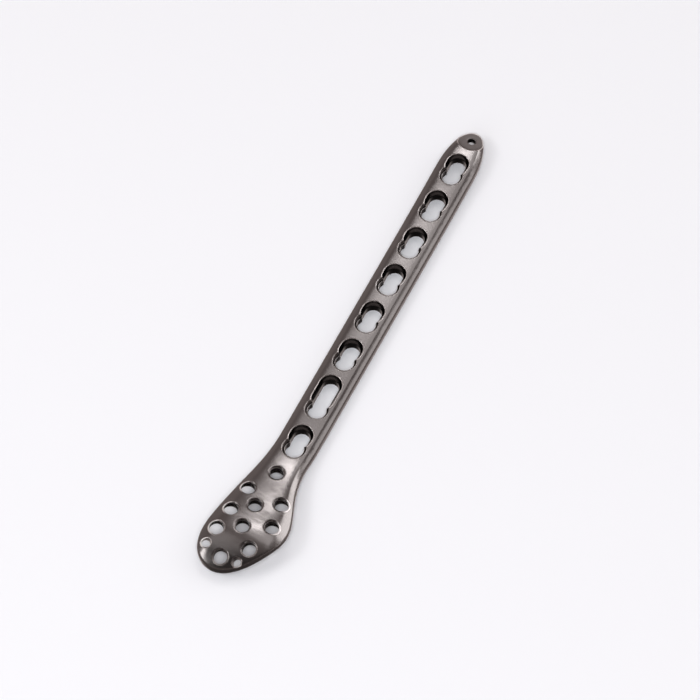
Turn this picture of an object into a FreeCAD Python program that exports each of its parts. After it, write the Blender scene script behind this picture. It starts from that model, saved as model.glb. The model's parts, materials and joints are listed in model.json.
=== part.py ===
import FreeCAD, Part
import math
import os

# A contoured locking bone plate for the lower end of the shin bone, machined from one piece.
# X runs along the plate towards its tapered tip, Y across it, Z up out of the outer face.
# The plate lies bone side down. While it is drawn, X = 0 is the middle of the locking lobe of
# the first combination hole and Z = 0 is the plane that the shaft's two lower edges rest on.

Vector = FreeCAD.Vector

# Shaft
SHAFT_WIDTH = 11.0
SHAFT_TOP = 3.75          # outer face above the rest plane, on the centre line
SHAFT_CORE = 3.40         # thickness on the centre line, over the hollow of the bone side
SHAFT_CROWN = 38.0        # radius of the outer face across the shaft
SHAFT_HOLLOW = 43.0       # radius of the hollow along the bone side
BEVEL_START = 0.7         # share of the half width where the long bevels begin
BEVEL_DROP = 1.05         # how far a long bevel falls to the side wall

# Tapered tip
TIP_LENGTH = 13.5         # of the half ellipse that ends the plate
TIP_START = 3.0           # X where the straight sides end
TIP_THIN = 0.5            # lost from the outer face by the end of the tip
TIP_LIFT = 1.5            # rise of the bone side at the end of the tip
LIFT_START = 30.0         # distance behind the first hole where that rise begins
TIP_FLAT_X = 13.2         # middle of the round milled flat
TIP_FLAT_RADIUS = 3.5
TIP_FLAT_DEPTH = 0.45     # below the outer face at the flat's back edge
TIP_FLAT_SLOPE = 13.0     # degrees that the flat falls forwards
TIP_FLAT_CORNER = 1.0     # corner radius of the cutter that mills it
TIP_WIRE_X = 13.2         # middle of the wire hole in the tip

# Combination holes: a locking lobe towards the head, a compression lobe towards the tip
HOLE_PITCH = 13.07
FRONT_HOLES = 6
LONG_HOLE_STEP = 16.3     # from the last of the front holes to the long one
LOCK_RADIUS = 2.6
LOCK_RIM_RADIUS = 3.27
LOCK_RIM_DEPTH = 0.75
SLOT_RADIUS = 2.3
SLOT_BACK = 2.6           # from the locking lobe to the back end of the through slot
SLOT_FRONT = 4.2          # and to its front end
SLOT_FRONT_LONG = 8.0     # front end in the long hole
SEAT_BACK = 3.4           # back end of the screw head's seat
SEAT_RIM_RADIUS = 3.15
SEAT_DEPTH = 1.3          # from the outer face down to the through slot

# Head: distances behind the neck, sides and heights of the outer face's centre line
NECK_X = -92.0
HEAD_LEFT = ((9.7, 6.35), (20.0, 8.2), (29.8, 9.85), (35.8, 10.3), (40.2, 8.85), (42.7, 5.5))
HEAD_RIGHT = ((43.1, 2.45), (41.2, -2.4), (35.2, -7.8), (28.2, -10.45), (20.9, -8.85),
              (14.4, -6.5), (7.8, -5.4))
HEAD_RISE = ((0.0, 0.0), (6.0, 0.2), (12.0, 0.85), (18.0, 1.8), (24.0, 2.7), (28.0, 3.2),
             (31.0, 3.35), (34.0, 3.1), (38.0, 2.05), (42.0, 0.3), (46.0, -2.1), (50.0, -4.8))
HEAD_CORE = 2.2           # thickness of the head
HEAD_THIN_LENGTH = 18.0   # over which the shaft thins to the head
HEAD_CROWN = 45.0         # radius of the head's outer face across the plate
HEAD_BEVEL_DROP = 0.95    # how far the head's sides fall beside that
HEAD_SIDE_LEFT = 10.3     # half widths that the net of the outer face keeps to the end
HEAD_SIDE_RIGHT = 10.5

# Head holes: distance behind the neck and side
LOCK_HOLES = ((11.8, 0.45), (19.3, 4.75), (20.1, -5.0), (23.45, 0.75), (27.05, 5.7),
              (27.35, -5.95), (30.5, 0.75), (33.6, 6.5), (35.45, -3.55), (40.05, 2.3))
WIRE_HOLES = ((38.15, 7.25), (39.65, -2.15))
HOLE_LEAN = 0.6           # share of the head's slope along the plate that the holes' axes take
FAN_HEIGHT = 38.0         # above the head, where those axes meet on the centre line
LOCK_HOLE_RADIUS = 1.9
WIRE_HOLE_RADIUS = 1.15
LOCK_CHAMFER = 0.42
WIRE_CHAMFER = 0.32
CHAMFER_SLOPE = 0.6       # depth of those chamfers for their width

# Edges
TOP_ROUND = 0.7
BOTTOM_CHAMFER = 0.6

# Nets of the two faces
CONTOUR_STEP = 3.2        # between the lines of a net over the head and the tip
SHAFT_STEP = 12.0         # and along the shaft
OUTER_ROWS = (-1.2, -1.0, -0.85, -0.7, -0.55, -0.25, 0.25, 0.55, 0.7, 0.85, 1.0, 1.2)
BONE_ROWS = (-1.3, -0.8, 0.0, 0.8, 1.3)
NET_MARGIN = 6.0

REACH = 30.0              # longer than any cutter needs

half_width = SHAFT_WIDTH / 2
tip_end = TIP_START + TIP_LENGTH
head_end = NECK_X - max(distance for distance, side in HEAD_LEFT + HEAD_RIGHT)


def through(stations, at):
    """Value at one place on a smooth curve through (place, value) stations, flat past the ends."""
    if at <= stations[0][0]:
        return stations[0][1]
    if at >= stations[-1][0]:
        return stations[-1][1]
    slopes = []
    for index in range(len(stations)):
        before = stations[max(index - 1, 0)]
        after = stations[min(index + 1, len(stations) - 1)]
        slopes.append((after[1] - before[1]) / (after[0] - before[0]))
    index = max(i for i in range(len(stations) - 1) if stations[i][0] <= at)
    (start, low), (stop, high) = stations[index], stations[index + 1]
    span = stop - start
    t = (at - start) / span
    return ((2 * t ** 3 - 3 * t ** 2 + 1) * low + (t ** 3 - 2 * t ** 2 + t) * span * slopes[index]
            + (3 * t ** 2 - 2 * t ** 3) * high + (t ** 3 - t ** 2) * span * slopes[index + 1])


def ease(at, start, stop):
    """Goes smoothly from 0 at start to 1 at stop."""
    t = min(max((at - start) / (stop - start), 0.0), 1.0)
    return t * t * (3 - 2 * t)


def behind_neck(x):
    return NECK_X - x


def side_width(x, side):
    """Half width of the plate at x that the net's rows follow, on the side of the given sign."""
    if x > TIP_START:
        share = min((x - TIP_START) / TIP_LENGTH, 0.9)
        return half_width * math.sqrt(1 - share ** 2)
    outline = HEAD_LEFT[:4] if side > 0 else tuple(reversed(HEAD_RIGHT))[:4]
    widest = HEAD_SIDE_LEFT if side > 0 else HEAD_SIDE_RIGHT
    stations = [(0.0, half_width)] + [(distance, abs(offset)) for distance, offset in outline]
    return min(through(stations, behind_neck(x)), widest)


def bone_rise(x):
    """Height that the contour of the bone adds under the centre line."""
    lift_length = LIFT_START + tip_end
    lift = TIP_LIFT * (max(x + LIFT_START, 0.0) / lift_length) ** 2
    return lift + through(HEAD_RISE, behind_neck(x))


def thickness(x):
    thin = ease(behind_neck(x), 0.0, HEAD_THIN_LENGTH)
    return SHAFT_CORE + thin * (HEAD_CORE - SHAFT_CORE)


def outer_height(x, row):
    """Height of the outer face at x, on the net's row: 0 on the centre line, 1 on an edge."""
    y = row * side_width(x, row)
    head = ease(behind_neck(x), 0.0, HEAD_THIN_LENGTH)
    crown = SHAFT_CROWN + head * (HEAD_CROWN - SHAFT_CROWN)
    past = max(abs(row) - BEVEL_START, 0.0) / (1 - BEVEL_START)
    drop = BEVEL_DROP + head * (HEAD_BEVEL_DROP - BEVEL_DROP)
    tip = ease(x, TIP_START, tip_end)
    centre = SHAFT_TOP + bone_rise(x) - TIP_THIN * tip
    return centre - y ** 2 / (2 * crown) - drop * past


def bone_height(x, row):
    """Height of the bone side at x, on the net's row."""
    y = row * side_width(x, row)
    head = ease(behind_neck(x), 0.0, HEAD_THIN_LENGTH)
    hollow = SHAFT_HOLLOW + head * (HEAD_CROWN - SHAFT_HOLLOW)
    centre = SHAFT_TOP + bone_rise(x) - thickness(x)
    return centre - y ** 2 / (2 * hollow)


def spaced(start, stop, step):
    """Places from start to stop, without stop, about a step apart."""
    count = round((stop - start) / step)
    return [start + (stop - start) * index / count for index in range(count)]


def net_surface(height, rows):
    """Smooth cubic surface over the whole plate from a net of poles at the given heights."""
    neck = NECK_X + CONTOUR_STEP
    end = tip_end + NET_MARGIN
    lines = (spaced(head_end - NET_MARGIN, neck, CONTOUR_STEP)
             + spaced(neck, -LIFT_START / 2, SHAFT_STEP)
             + spaced(-LIFT_START / 2, end, CONTOUR_STEP) + [end])
    poles = [[Vector(x, row * side_width(x, row), height(x, row)) for row in rows]
             for x in lines]
    counts = [[4] + [1] * (len(net) - 4) + [4] for net in (lines, rows)]
    knots = [list(range(len(net) - 2)) for net in (lines, rows)]
    surface = Part.BSplineSurface()
    surface.buildFromPolesMultsKnots(poles, *counts, *knots, False, False, 3, 3)
    return surface


def point_and_normal(surface, x, y):
    """Point of the surface straight above (x, y), and its upward normal."""
    point = Vector(x, y, SHAFT_TOP)
    for _ in range(12):
        u, v = surface.parameter(point)
        point = Vector(x, y, surface.value(u, v).z)
    normal = surface.normal(u, v)
    return point, normal if normal.z > 0 else -normal


def outline_wire():
    """Plan outline: straight sides, half an ellipse round the tip, one spline round the head."""
    left = Vector(TIP_START, half_width, 0)
    right = Vector(TIP_START, -half_width, 0)
    ellipse = Part.Ellipse(Vector(TIP_START, 0, 0), TIP_LENGTH, half_width)
    nose = ellipse.toShape(-math.pi / 2, math.pi / 2)
    neck_left = Vector(NECK_X, half_width, 0)
    neck_right = Vector(NECK_X, -half_width, 0)
    middle = [Vector(NECK_X - distance, side, 0) for distance, side in HEAD_LEFT + HEAD_RIGHT]
    head = Part.BSplineCurve()
    head.interpolate(Points=[neck_left] + middle + [neck_right],
                     InitialTangent=Vector(-1, 0, 0), FinalTangent=Vector(1, 0, 0))
    edges = [nose, Part.LineSegment(left, neck_left).toShape(), head.toShape(),
             Part.LineSegment(neck_right, right).toShape()]
    return Part.Wire(Part.__sortEdges__(edges))


def blank(outer, bone):
    """The plate before its holes: the plan outline between the outer face and the bone side."""
    under_outer = outer.toShape().extrude(Vector(0, 0, -REACH))
    under_bone = bone.toShape().extrude(Vector(0, 0, -REACH))
    column = Part.Face(outline_wire()).extrude(Vector(0, 0, REACH))
    column.translate(Vector(0, 0, -REACH / 3))
    return column.common(under_outer).cut(under_bone)


def finish_rims(plate):
    """Rounds the rim of the outer face and chamfers the rim of the bone side."""
    wide = sorted(plate.Faces, key=lambda face: face.Area)[-2:]
    outer = max(wide, key=lambda face: face.CenterOfMass.z)
    plate = plate.makeFillet(TOP_ROUND, outer.Edges)
    wide = sorted(plate.Faces, key=lambda face: face.Area)[-2:]
    under = min(wide, key=lambda face: face.CenterOfMass.z)
    return plate.makeChamfer(BOTTOM_CHAMFER, under.Edges)


def placed(shape, point, up):
    """Puts a cutter drawn about the origin at a point, its Z along up and its X along the plate."""
    along = Vector(1, 0, 0) - up * up.x
    along.normalize()
    across = up.cross(along)
    turn = FreeCAD.Matrix(along.x, across.x, up.x, point.x,
                          along.y, across.y, up.y, point.y,
                          along.z, across.z, up.z, point.z,
                          0, 0, 0, 1)
    shape = shape.copy()
    shape.Placement = FreeCAD.Placement(turn)
    return shape


def bore_cutter(radius):
    return Part.makeCylinder(radius, 2 * REACH, Vector(0, 0, -REACH))


def rim_cutter(radius, rim_radius, rim_depth):
    """Cone that opens a bore of the given radius to rim_radius at Z = 0, the outer face."""
    spread = (rim_radius - radius) / rim_depth
    point = -rim_depth - radius / spread
    return Part.makeCone(0, 2 * rim_radius, 2 * rim_radius / spread, Vector(0, 0, point))


def capsule(radius, back, front, low, high):
    """Upright slot with round ends, from back to front along X."""
    length = front - back
    middle = Part.makeBox(length, 2 * radius, high - low, Vector(back, -radius, low))
    ends = [Part.makeCylinder(radius, high - low, Vector(x, 0, low)) for x in (back, front)]
    return middle.multiFuse(ends)


def seat_cutter(front):
    """Path of a ball cutter: the seat of a round screw head, from SEAT_BACK to front."""
    lift = (SEAT_RIM_RADIUS ** 2 - SLOT_RADIUS ** 2 - SEAT_DEPTH ** 2) / (2 * SEAT_DEPTH)
    ball = math.sqrt(SEAT_RIM_RADIUS ** 2 + lift ** 2)
    path = Part.makeCylinder(ball, front - SEAT_BACK, Vector(SEAT_BACK, 0, lift), Vector(1, 0, 0))
    ends = [Part.makeSphere(ball, Vector(x, 0, lift)) for x in (SEAT_BACK, front)]
    return path.multiFuse(ends)


def combination_cutter(front):
    lock = bore_cutter(LOCK_RADIUS)
    rim = rim_cutter(LOCK_RADIUS, LOCK_RIM_RADIUS, LOCK_RIM_DEPTH)
    slot = capsule(SLOT_RADIUS, SLOT_BACK, front, -REACH, REACH)
    return lock.multiFuse([rim, slot, seat_cutter(front)]).removeSplitter()


def shaft_holes():
    """Place along the plate and slot end of each combination hole, from the tip to the head."""
    holes = [(-index * HOLE_PITCH, SLOT_FRONT) for index in range(FRONT_HOLES)]
    long_hole = holes[-1][0] - LONG_HOLE_STEP
    return holes + [(long_hole, SLOT_FRONT_LONG), (long_hole - HOLE_PITCH, SLOT_FRONT)]


def head_hole(outer, distance, side):
    """Middle of a head hole's rim, the outward normal there, and the hole's own axis.

    The axis follows most of the head's slope along the plate, and leans inwards across it, so
    that the screws fan out in the bone.
    """
    point, normal = point_and_normal(outer, NECK_X - distance, side)
    axis = Vector(HOLE_LEAN * normal.x, -side / FAN_HEIGHT, normal.z)
    return point, normal, axis.normalize()


def tip_flat(outer):
    """Cutter that mills the round sloping flat into the tip, and the flat's own frame."""
    back = TIP_FLAT_X - TIP_FLAT_RADIUS
    edge, normal = point_and_normal(outer, back, 0)
    slope = math.radians(TIP_FLAT_SLOPE)
    up = Vector(math.sin(slope), 0, math.cos(slope))
    middle = edge + Vector(math.cos(slope), 0, -math.sin(slope)) * TIP_FLAT_RADIUS
    middle.z -= TIP_FLAT_DEPTH
    cutter = Part.makeCone(TIP_FLAT_RADIUS, TIP_FLAT_RADIUS + REACH / 4, REACH / 4)
    foot = [edge for edge in cutter.Edges if edge.BoundBox.ZMax < TIP_FLAT_DEPTH]
    cutter = cutter.makeFillet(TIP_FLAT_CORNER, foot)
    return placed(cutter, middle, up), middle, up


def tip_wire_point(middle, up):
    """Middle of the wire hole, on the milled flat."""
    return middle + Vector(up.z, 0, -up.x) * ((TIP_WIRE_X - middle.x) / up.z)


def cutters(outer):
    """Everything that is milled or drilled into the blank."""
    tools = []
    for x, front in shaft_holes():
        point, up = point_and_normal(outer, x + front / 2, 0)
        along = Vector(1, 0, 0) - up * up.x
        along.normalize()
        tools.append(placed(combination_cutter(front), point - along * (front / 2), up))
    round_holes = ((LOCK_HOLES, LOCK_HOLE_RADIUS, LOCK_CHAMFER),
                   (WIRE_HOLES, WIRE_HOLE_RADIUS, WIRE_CHAMFER))
    for holes, radius, chamfer in round_holes:
        bore = bore_cutter(radius)
        rim = rim_cutter(radius, radius + chamfer, CHAMFER_SLOPE * chamfer)
        for distance, side in holes:
            point, normal, axis = head_hole(outer, distance, side)
            tools += [placed(bore, point, axis), placed(rim, point, normal)]
    flat, middle, up = tip_flat(outer)
    wire = tip_wire_point(middle, up)
    rim = rim_cutter(WIRE_HOLE_RADIUS, WIRE_HOLE_RADIUS + WIRE_CHAMFER,
                     CHAMFER_SLOPE * WIRE_CHAMFER)
    tools += [placed(bore_cutter(WIRE_HOLE_RADIUS), wire, up), placed(rim, wire, up)]
    return [flat] + tools


def bone_plate():
    outer = net_surface(outer_height, OUTER_ROWS)
    bone = net_surface(bone_height, BONE_ROWS)
    plate = finish_rims(blank(outer, bone).Solids[0])
    for tool in cutters(outer):
        plate = plate.cut(tool)
    return plate.Solids[0]


def stand(plate):
    """Moves the plate so that the origin is under the middle of its length and width."""
    box = plate.optimalBoundingBox(False, False)
    plate.translate(Vector(-box.Center.x, -box.Center.y, -box.ZMin))
    return plate


if __name__ == "__main__":
    os.makedirs("parts", exist_ok=True)
    plate = stand(bone_plate())
    plate.exportStep("parts/bone_plate.step")
    box = plate.optimalBoundingBox(False, False)
    print("bone_plate", round(plate.Volume, 1), "mm3,", len(plate.Faces), "faces,",
          round(box.XLength, 2), round(box.YLength, 2), round(box.ZLength, 2), plate.isValid())
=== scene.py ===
# %% [markdown]
# # A contoured bone plate, dressed in Blender
#
# The object is a locking bone plate for the lower end of the shin bone: one long piece of
# titanium with a tapered tip, a slim shaft of eight combination holes, and a flared, domed
# head of round locking holes. Its shape comes from the CAD model. This lesson gives it its
# finish and the fine screw threads of its holes, and sets it on a pale studio floor.
#
# Everything is in metres. X runs along the plate from the head to the tip, Z points up.

import json
import math

import bmesh
import bpy
from mathutils import Matrix, Vector
from mathutils.bvhtree import BVHTree


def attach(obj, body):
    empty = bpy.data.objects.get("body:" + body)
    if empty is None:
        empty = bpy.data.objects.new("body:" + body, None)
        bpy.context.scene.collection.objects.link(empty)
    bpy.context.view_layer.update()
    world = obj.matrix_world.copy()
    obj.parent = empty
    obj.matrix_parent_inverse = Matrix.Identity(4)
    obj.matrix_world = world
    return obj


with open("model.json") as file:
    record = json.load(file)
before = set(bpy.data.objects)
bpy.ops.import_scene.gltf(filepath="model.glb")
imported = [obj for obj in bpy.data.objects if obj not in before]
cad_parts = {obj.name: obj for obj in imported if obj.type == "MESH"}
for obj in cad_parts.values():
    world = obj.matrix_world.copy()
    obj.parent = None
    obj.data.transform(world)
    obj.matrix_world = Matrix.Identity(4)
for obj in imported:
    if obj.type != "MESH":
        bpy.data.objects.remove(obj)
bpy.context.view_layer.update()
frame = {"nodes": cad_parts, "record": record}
MM = 0.001
plate = frame["nodes"]["bone_plate"]

# %% [markdown]
# ## The camera
#
# The photograph was taken with a long lens from well above the plate, with the head towards
# the photographer and the tip pointing away. A camera can be placed by hand in the viewport,
# but numbers are easier to correct: a point to look at, a compass direction, a height above
# the horizon and a distance. The same compass helps with the lamps later, so it is a
# function. Azimuth 0 is straight behind the plate as the camera sees it, and positive
# azimuths lie to the right in the picture.

# %% Camera
VIEW_AZIMUTH = math.radians(-63.64)
VIEW_ELEVATION = 59.0
VIEW_DISTANCE = 0.9
LOOK_AT = Vector((-2.381, 0.252, 3.586)) * MM
LENS, SENSOR_WIDTH = 175.0, 36.0      # in millimetres, as on a real camera
NEAREST, FARTHEST = 0.05, 20.0        # what lies outside these isn't drawn


def studio_point(azimuth, elevation, distance):
    """Point round the plate; the angles are in degrees, as the text above says."""
    turn = VIEW_AZIMUTH - math.radians(azimuth)
    level = distance * math.cos(math.radians(elevation))
    rise = distance * math.sin(math.radians(elevation))
    return LOOK_AT + Vector((-level * math.sin(turn), level * math.cos(turn), rise))


def aim(thing, point, target):
    """Puts a camera or lamp at a point and turns it to look at the target."""
    thing.location = point
    thing.rotation_euler = (target - point).to_track_quat("-Z", "Y").to_euler()


def link(thing):
    """Puts an object in the scene and hands it back."""
    bpy.context.scene.collection.objects.link(thing)
    return thing


camera = link(bpy.data.objects.new("camera", bpy.data.cameras.new("camera")))
camera.data.lens, camera.data.sensor_width = LENS, SENSOR_WIDTH
camera.data.clip_start, camera.data.clip_end = NEAREST, FARTHEST
aim(camera, studio_point(180.0, VIEW_ELEVATION, VIEW_DISTANCE), LOOK_AT)
bpy.context.scene.camera = camera
print("camera at", [round(value, 3) for value in camera.location])

# %% [markdown]
# ## Softboxes
#
# Bare metal has hardly any colour of its own: what it shows is the room, mirrored. So the
# lamps are placed where the polished faces of the real plate mirror something bright. A small
# bright softbox behind the plate makes the sheen at the neck and on the dome, and a wide
# faint one round it lightens the flat of the shaft. Two on the right light the bevel on that
# side, and two on the left light the head's left edge.
#
# A lamp's power says little about how bright it looks in a reflection, because the same power
# over a larger face is dimmer. The helper takes the glow of the face and works out the power
# from its area.
#
# The paper floor needs far more light than the metal does. Its windows are hidden from mirror
# rays, so that they brighten the paper without showing in the plate. One of them stands at
# the camera, because only light from there reaches the paper seen through the holes.

# %% Softboxes
SOFTBOXES = (        # name, azimuth, elevation, distance, width, height, glow
    ("back_softbox", 9.0, 52.4, 1.2, 0.22, 0.11, 7.4),
    ("wide_softbox", 33.0, 58.0, 1.3, 1.1, 0.46, 0.95),
    ("right_softbox", 63.5, 26.0, 1.2, 0.27, 0.5, 3.4),
    ("side_softbox", 86.0, 25.5, 1.2, 0.34, 0.25, 1.5),
    ("left_softbox", -100.0, 39.0, 1.2, 0.5, 0.34, 5.0),
    ("left_panel", -70.0, 63.0, 1.25, 0.6, 0.6, 0.45),
)
WINDOWS = (          # the same, for the floor alone
    ("left_window", -72.0, 48.0, 1.6, 1.2, 1.2, 0.4),
    ("front_window", -150.0, 24.0, 1.6, 0.9, 0.9, 1.6),
    ("camera_window", 180.0, 60.0, 1.6, 0.7, 0.7, 8.4),
)
SOFTBOX_TINT, WINDOW_TINT = (1.0, 1.0, 1.0), (0.95, 0.97, 1.0)


def softbox(name, azimuth, elevation, distance, width, height, glow, tint):
    """Rectangular lamp that faces the plate."""
    lamp = bpy.data.lights.new(name, "AREA")
    lamp.shape = "RECTANGLE"
    lamp.size, lamp.size_y = width, height
    lamp.energy = glow * math.pi * width * height
    lamp.color = tint
    thing = link(bpy.data.objects.new(name, lamp))
    aim(thing, studio_point(azimuth, elevation, distance), LOOK_AT)
    print(name, "power", round(lamp.energy, 2), "W")
    return thing


for row in SOFTBOXES:
    softbox(*row, SOFTBOX_TINT)
for row in WINDOWS:
    softbox(*row, WINDOW_TINT).visible_glossy = False

# %% [markdown]
# ## Node helpers
#
# The room and the materials are graphs of nodes. Placing each node by hand hides the idea
# behind it, so the sums are written as Python expressions instead. `Signal` wraps one socket.
# Its operators add Math nodes, so `1 - mask` or `grain * 0.2` builds the graph while it reads
# like arithmetic. `blend` is the other thing that is needed all the time: a smooth step from
# one value to another. `Graph` adds every other node through one method.

# %% Signal
class Signal:
    """One output socket of a graph, with arithmetic."""

    def __init__(self, graph, socket):
        self.graph, self.socket = graph, socket

    def maths(self, operation, left, right):
        return self.graph.node("ShaderNodeMath", {"operation": operation}, {0: left, 1: right})

    def __add__(self, other):
        return self.maths("ADD", self, other)

    def __sub__(self, other):
        return self.maths("SUBTRACT", self, other)

    def __rsub__(self, other):
        return self.maths("SUBTRACT", other, self)

    def __mul__(self, other):
        return self.maths("MULTIPLY", self, other)

    __radd__ = __add__
    __rmul__ = __mul__

    def blend(self, start, end, low=0.0, high=1.0):
        """Goes smoothly from low to high while the signal goes from start to end."""
        return self.graph.node("ShaderNodeMapRange", {"interpolation_type": "SMOOTHSTEP"},
                               {"Value": self, "From Min": start, "From Max": end,
                                "To Min": low, "To Max": high})


# %% Graph
class Graph:
    """A node tree that is built from expressions and ends in one shader."""

    def __init__(self, tree, shader):
        self.tree, self.shader = tree, tree.nodes[shader]

    def node(self, kind, settings=None, inputs=None, output=0):
        """Adds a node, sets it up, then fills its sockets with values or signals."""
        made = self.tree.nodes.new(kind)
        for name, value in (settings or {}).items():
            if name == "stops":
                for stop, (position, colour) in zip(made.color_ramp.elements, value):
                    stop.position, stop.color = position, colour
            else:
                setattr(made, name, value)
        for key, value in (inputs or {}).items():
            self.fill(made.inputs[key], value)
        return Signal(self, made.outputs[output])

    def part(self, vector, axis):
        """One number of a vector: axis 0, 1 or 2 for X, Y or Z."""
        return self.node("ShaderNodeSeparateXYZ", None, {"Vector": vector}, axis)

    def fill(self, socket, value):
        """Links a signal to a socket, or sets the socket to a value."""
        if isinstance(value, Signal):
            self.tree.links.new(value.socket, socket)
        else:
            socket.default_value = value

    def set(self, **sockets):
        """Fills the shader's own sockets; an underscore stands for a space."""
        for name, value in sockets.items():
            self.fill(self.shader.inputs[name.replace("_", " ")], value)


def new_material(name):
    """A material and the graph that ends in its shader."""
    material = bpy.data.materials.new(name)
    material.use_nodes = True
    return material, Graph(material.node_tree, "Principled BSDF")


# %% [markdown]
# ## The room
#
# Between the lamps the metal mirrors the room itself. In the photograph the plate is a warm
# mid grey where it mirrors the back of the room, and nearly black where it mirrors the
# ceiling over the camera, or the dark below it: on the walls of the holes and on the end of
# the head. So the room fades from light at the back to dark at the front. Near the horizon it
# stays light all round, as a real room would, so that the plate also reads well when it is
# seen from behind. Below the horizon it is lighter again, in place of the paper, which mirror
# rays don't see. A world with a graph does this without any walls to build.
#
# A direction in the room is two numbers here: `forward` is 1 straight towards the camera and
# -1 straight away from it, and `skyward` is 0 at the horizon and 1 overhead.

# %% Room
ROOM_LIGHT, ROOM_DARK = 0.38, 0.07    # glow at the back and at the front
FADE = (-0.35, 0.3)                   # forward, from the one to the other
ROOM_HORIZON = 0.5                    # glow of the band at the horizon
BAND_FOOT, BAND_TOP = (-0.1, 0.05), (0.5, 0.3)     # skyward, from no band to full
ROOM_BELOW = 1.6                      # times as light below the horizon
BELOW = (-0.3, 0.0)                   # skyward, from full to none of that
ROOM_TINT = (1.0, 0.87, 0.84, 1.0)
TOWARDS_CAMERA = (math.sin(VIEW_AZIMUTH), -math.cos(VIEW_AZIMUTH), 0.0)

world = bpy.data.worlds.new("studio")
bpy.context.scene.world = world
world.use_nodes = True
room = Graph(world.node_tree, "Background")
heading = room.node("ShaderNodeTexCoord", output="Generated")
forward = room.node("ShaderNodeVectorMath", {"operation": "DOT_PRODUCT"},
                    {0: heading, 1: TOWARDS_CAMERA}, "Value")
skyward = room.part(heading, 2)
fade = forward.blend(*FADE, ROOM_LIGHT, ROOM_DARK)
band = skyward.blend(*BAND_FOOT) * skyward.blend(*BAND_TOP)
room.set(Strength=(fade * skyward.blend(*BELOW, ROOM_BELOW, 1.0)
                   + (ROOM_HORIZON - fade) * band), Color=ROOM_TINT)
bpy.context.scene.view_settings.view_transform = "Standard"
print("nodes in the room:", len(world.node_tree.nodes))

# %% [markdown]
# ## Anodised titanium
#
# The real plate is milled, tumbled until its edges are soft, blasted to an even satin, and
# then anodised, which leaves a thin dark grey-brown oxide. What makes it look like that is a
# dark metal, a satin sheen that varies a little where the tumbling reached less, and a very
# fine grain. An image texture would need UVs, which a CAD mesh doesn't have. Noise in three
# dimensions on Object coordinates has no seams and stays on the plate when it moves.

# %% Titanium and its noise
titanium, oxide = new_material("anodised_titanium")
place = oxide.node("ShaderNodeTexCoord", output="Object")


def noise(scale, detail, stretch=(1.0, 1.0, 1.0)):
    """Soft noise, scale in patches per metre; stretch below 1 draws it out along an axis."""
    spread = oxide.node("ShaderNodeMapping", None, {"Vector": place, "Scale": stretch})
    return oxide.node("ShaderNodeTexNoise", None,
                      {"Vector": spread, "Scale": scale, "Detail": detail})


clouds = noise(scale=90.0, detail=3.0)
grain = noise(scale=5200.0, detail=2.0)
brushing = noise(scale=2600.0, detail=2.0, stretch=(0.06, 1.0, 1.0))
print("nodes for the noise:", len(titanium.node_tree.nodes))

# %% [markdown]
# ## Worn rims with a painted highlight, painted shade in the holes, and the milled flat
#
# Some places differ from the rest. Handling wears the oxide off the rims of the holes, so
# they are paler and rougher, and the rims that face up are made far paler still, which is a
# painted highlight. The walls of the holes mirror mostly each other and go dark, and that
# darkness is painted into the colour as shade. The round flat at the tip keeps its milling
# marks. Masks for these could be painted by hand, but masks that are worked out from the
# shape stay right when the shape is changed.
#
# An ambient occlusion node sends out short rays and tells how many met nothing. When it looks
# into the metal it finds thin edges, because its rays soon come out on the other side. When
# it looks outwards it finds the depth of a hole, and the colour is darkened there as painted
# shade. A bevel node rounds the edges for the light only, and its normal also tells which rims
# face up: where hands and trays rub them, and where the painted highlight goes.

# %% Masks
MASK_RAYS = 8                         # that each mask sends out at a point
EDGE_ROUND = 0.45 * MM
# rims that face up get both the wear and the painted highlight
FACES_UP = (0.3, 0.6)                 # upright part of the normal, from no wear to full
RIM_REACH, RIM_SOLID, RIM_THIN = 0.5 * MM, 0.9, 0.6
# painted shade in the holes: the colour darkens with how deep a point lies
HOLE_REACH, HOLE_DEEP, HOLE_OPEN = 7.0 * MM, 0.74, 0.97
HOLE_SHADE = 0.03                     # share of the colour that is left deep in a hole
FLAT_MIDDLE = Vector((72.5, 0.0, 4.6)) * MM
FLAT_EDGE, FLAT_FULL = 4.0 * MM, 3.4 * MM


def openness(reach, inside):
    """Share of rays that meet no metal within reach, outside the metal or inside it."""
    return oxide.node("ShaderNodeAmbientOcclusion",
                      {"samples": MASK_RAYS, "only_local": True, "inside": inside},
                      {"Distance": reach}, "AO")


soft_edges = oxide.node("ShaderNodeBevel", {"samples": MASK_RAYS}, {"Radius": EDGE_ROUND})
worn_and_highlit = oxide.part(soft_edges, 2).blend(*FACES_UP)
# painted highlight on top of real wear: thin edges that face up get a much paler colour
rim_wear_and_highlight = openness(RIM_REACH, inside=True).blend(RIM_SOLID, RIM_THIN) * worn_and_highlit
# painted shade: the colour falls towards HOLE_SHADE deep in a hole
painted_hole_shade = openness(HOLE_REACH, inside=False).blend(HOLE_DEEP, HOLE_OPEN, HOLE_SHADE, 1.0)
from_flat = oxide.node("ShaderNodeVectorMath", {"operation": "DISTANCE"},
                       {0: place, 1: FLAT_MIDDLE}, "Value")
milled = from_flat.blend(FLAT_EDGE, FLAT_FULL)
print("the milled flat is", round(2 * FLAT_FULL / MM, 1), "mm across")

# %% [markdown]
# ## Colour and sheen
#
# The masks and the noise meet in two sockets of the shader. Anodised titanium is a metal, so
# its colour is the tint of what it mirrors, and it is dark. The sheen is its roughness: 0
# would be a mirror and 1 chalk.

# %% Colour and sheen
DARK_OXIDE, PALE_OXIDE = (0.186, 0.172, 0.170, 1.0), (0.214, 0.200, 0.198, 1.0)
DARK_CLOUD, PALE_CLOUD = 0.32, 0.68   # values of the noise that get those colours
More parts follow.
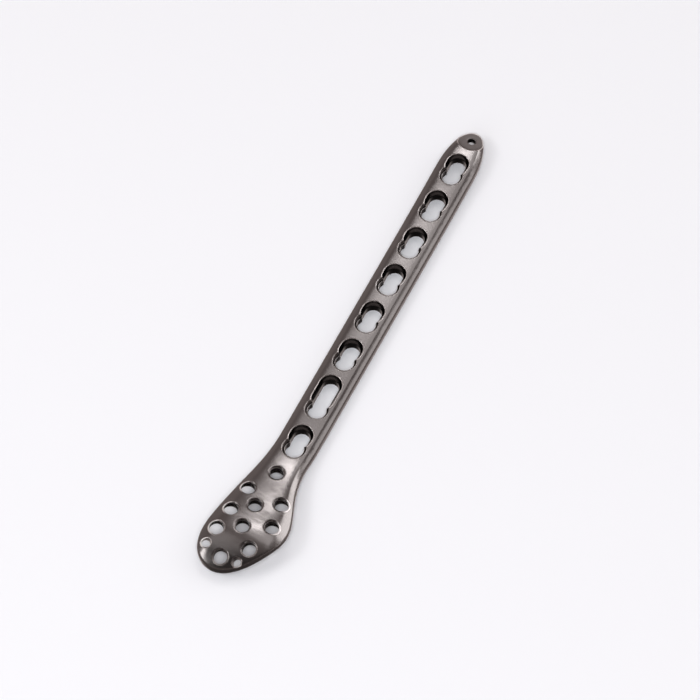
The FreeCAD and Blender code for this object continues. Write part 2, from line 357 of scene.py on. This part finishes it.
# the rim share is partly paler worn oxide and mostly a painted highlight on the rims
RIM_WEAR_AND_HIGHLIGHT, FLAT_PALER = 6.0, 0.35     # share that is added to the colour
SATIN = 0.175                         # roughness of the blasted metal
CLOUD_SHEEN, GRAIN_SHEEN, BRUSH_SHEEN = 0.05, 0.05, 0.04     # how far each noise moves it
RIM_ROUGHER, FLAT_ROUGHER = 0.25, 0.3
NOISE_MIDDLE = 0.5

tint = oxide.node("ShaderNodeValToRGB",
                  {"stops": ((DARK_CLOUD, DARK_OXIDE), (PALE_CLOUD, PALE_OXIDE))},
                  {"Fac": clouds})
# painted light in the colour: shade deep in the holes, a highlight on rims that face up
shade = painted_hole_shade * (1.0 + rim_wear_and_highlight * RIM_WEAR_AND_HIGHLIGHT + milled * FLAT_PALER)
colour = oxide.node("ShaderNodeVectorMath", {"operation": "SCALE"}, {0: tint, "Scale": shade})
sheen = (SATIN + clouds * CLOUD_SHEEN + (grain - NOISE_MIDDLE) * GRAIN_SHEEN
         + (brushing - NOISE_MIDDLE) * BRUSH_SHEEN
         + rim_wear_and_highlight * RIM_ROUGHER + milled * FLAT_ROUGHER)
oxide.set(Base_Color=colour, Metallic=1.0, Roughness=sheen)
print("worn rims are", 1.0 + RIM_WEAR_AND_HIGHLIGHT, "times as pale as the rest")

# %% [markdown]
# ## Grain and swell
#
# The grain of the blasting is far too fine to model, so a bump gives it: it leaves the
# surface where it is and only leans the light. A second bump mends one place. In the
# photograph the light on the dome lies about 3 mm nearer the end of the head than it does on
# the CAD model, and a very shallow swell behind the dome leans the mirrored light there.

# %% Grain and swell
SWELL_TOP, SWELL_END = -72.0 * MM, -55.0 * MM      # along the plate
SWELL_HEIGHT = 0.9 * MM
GRAIN_DEPTH, GRAIN_STRENGTH = 2e-5, 0.08
BRUSHING_SHARE = 0.6


def bump(height, strength, distance, normal):
    """A normal that is leaned by a height; distance is the size of a height of 1."""
    return oxide.node("ShaderNodeBump", None,
                      {"Height": height, "Strength": strength, "Distance": distance,
                       "Normal": normal})


along = oxide.part(place, 0)
swell = bump(along.blend(SWELL_TOP, SWELL_END, SWELL_HEIGHT, 0.0),
             strength=1.0, distance=1.0, normal=soft_edges)
relief = bump(grain + brushing * BRUSHING_SHARE, GRAIN_STRENGTH, GRAIN_DEPTH, normal=swell)
oxide.set(Normal=relief)
plate.data.materials.clear()
plate.data.materials.append(titanium)
print("materials on the plate:", [slot.name for slot in plate.material_slots])

# %% [markdown]
# ## Threads
#
# The head of a locking screw has a thread of its own, which bites into a fine thread in the
# hole. The CAD model has plain walls there. A thread is a small three-sided ridge that climbs
# round the wall as a helix. It could be a texture, but a bump can't change the outline of a
# hole, so the ridge is real: a triangle of edges is spun round the hole's axis, with a step
# of rise each time.
#
# The walls end on curved faces, and the lobe of a combination hole is open on one side. Rays
# from the axis outwards find where there is wall, and the ridge is made only there.

# %% Where a hole has wall
STEPS = 48                            # to one turn of a helix
RAY_SPREAD = 0.3                      # of the pitch, to each side of the ridge's middle
WALL_SLACK = 0.03                     # of the radius, that a wall may be off
SHORTEST_RUN = 3                      # steps; shorter runs are left out
skin = BVHTree.FromPolygons([vertex.co for vertex in plate.data.vertices],
                            [tuple(face.vertices) for face in plate.data.polygons])


def spoke(axis, step):
    """Outward direction from the axis at one of the steps round it."""
    across = axis.cross(Vector((0.0, 1.0, 0.0))).normalized()
    return Matrix.Rotation(2 * math.pi * step / STEPS, 3, axis) @ across


def has_wall(point, outward, radius, spread):
    """Whether rays just under and over a point on the axis both meet the hole's wall."""
    hits = [skin.ray_cast(point + side * spread, outward)[3] for side in (-1, 1)]
    return all(hit is not None and abs(hit - radius) < WALL_SLACK * radius for hit in hits)


def wall_runs(middle, axis, radius, low, high, pitch):
    """Runs of helix steps, as (first, last), whose points lie on the hole's wall."""
    total = int((high - low) / pitch * STEPS)
    runs, first = [], None
    for step in range(total + 1):
        point = middle + axis * (low + pitch * step / STEPS)
        solid = has_wall(point, spoke(axis, step), radius, axis * (RAY_SPREAD * pitch))
        if solid and first is None:
            first = step
        if first is not None and (not solid or step == total):
            if step - first > SHORTEST_RUN:
                runs.append((first, step - 1))
            first = None
    return runs


print("triangles that the rays are tested on:", len(plate.data.polygons))

# %% Thread ridge
RIDGE_HALF = 0.32                     # of the pitch, half the width of a ridge's foot
RIDGE_BITE = 0.03 * MM                # how far its foot stands in the wall


def add_ridge(thread, middle, axis, radius, low, pitch, height, run):
    """Spins one run of a ridge into the bmesh."""
    first, last = run
    start = middle + axis * (low + pitch * first / STEPS)
    outward = spoke(axis, first)
    foot = start + outward * (radius + RIDGE_BITE)
    half = axis * (RIDGE_HALF * pitch)
    corners = [thread.verts.new(point)
               for point in (foot - half, start + outward * (radius - height), foot + half)]
    edges = [thread.edges.new(pair) for pair in zip(corners, corners[1:] + corners[:1])]
    turn = 2 * math.pi * (last - first) / STEPS
    spun = bmesh.ops.spin(thread, geom=corners + edges, cent=middle, axis=axis,
                          dvec=axis * (pitch / STEPS), angle=turn, steps=last - first)
    far_corners = [item for item in spun["geom_last"] if isinstance(item, bmesh.types.BMVert)]
    for ring in (corners, far_corners):
        thread.faces.new(ring)


def threaded(name, holes, pitch, height):
    """One piece with the ridges of several (middle, axis, radius, low, high) holes."""
    thread = bmesh.new()
    count = 0
    for middle, axis, radius, low, high in holes:
        for run in wall_runs(middle, axis, radius, low, high, pitch):
            add_ridge(thread, middle, axis, radius, low, pitch, height, run)
            count += 1
    bmesh.ops.recalc_face_normals(thread, faces=thread.faces)
    mesh = bpy.data.meshes.new(name)
    thread.to_mesh(mesh)
    thread.free()
    piece = link(bpy.data.objects.new(name, mesh))
    piece.data.materials.append(titanium)
    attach(piece, "root")
    print(name, len(holes), "holes,", count, "ridges,", len(mesh.polygons), "faces")


# %% [markdown]
# ### Holes of the head
#
# The ten locking holes of the head lean with the dome, each along its own axis. Their places,
# axes, radii and depths could be measured on the mesh, but the CAD record keeps them as
# mounts, so they are read from there and follow any change of the part.

# %% Threads of the head
HEAD_PITCH, HEAD_RIDGE = 0.5 * MM, 0.09 * MM
head_holes = []
for mount in frame["record"]["mounts"]:
    if mount["kind"] == "threaded_hole":
        reach = mount["dims"]["length_mm"] * MM / 2
        head_holes.append((Vector(mount["pos_m"]), Vector(mount["axis"]),
                           mount["dims"]["r_mm"] * MM, -reach, reach))
threaded("head_threads", head_holes, HEAD_PITCH, HEAD_RIDGE)

# %% [markdown]
# ### Lobes of the shaft
#
# Each combination hole joins a round locking lobe to an oval lobe for a plain screw. Only the
# round one is threaded. Its radius, and the part of its depth that is straight wall, aren't
# in the record, so they are given here, measured down from the mount on the plate's face.

# %% Threads of the lobes
LOBE_PITCH, LOBE_RIDGE = 0.62 * MM, 0.12 * MM
LOBE_RADIUS, LOBE_LOW, LOBE_HIGH = 2.6 * MM, -3.6 * MM, -0.6 * MM
lobes = [(Vector(mount["pos_m"]), Vector(mount["axis"]), LOBE_RADIUS, LOBE_LOW, LOBE_HIGH)
         for mount in frame["record"]["mounts"] if mount["name"].startswith("combination_hole")]
threaded("lobe_threads", lobes, LOBE_PITCH, LOBE_RIDGE)

# %% [markdown]
# ## The floor
#
# The plate lies on a plain, pale, matt sheet. A large flat plane is enough, because only the
# soft shadow on it is seen. It is hidden from mirror rays: the walls of the holes would
# otherwise mirror the bright paper, and in the photograph they are nearly black.

# %% Floor
FLOOR_REACH = 3.0                     # from its middle to each side
PAPER_COLOUR, PAPER_ROUGHNESS = (0.895, 0.9, 0.925, 1.0), 0.9

ground = bmesh.new()
bmesh.ops.create_grid(ground, x_segments=1, y_segments=1, size=FLOOR_REACH)
floor = link(bpy.data.objects.new("floor", bpy.data.meshes.new("floor")))
ground.to_mesh(floor.data)
ground.free()
paper, fibres = new_material("pale_paper")
fibres.set(Base_Color=PAPER_COLOUR, Roughness=PAPER_ROUGHNESS, Specular_IOR_Level=0.0)
floor.data.materials.append(paper)
floor.visible_glossy = False
print("floor of", [round(size, 1) for size in floor.dimensions], "m")
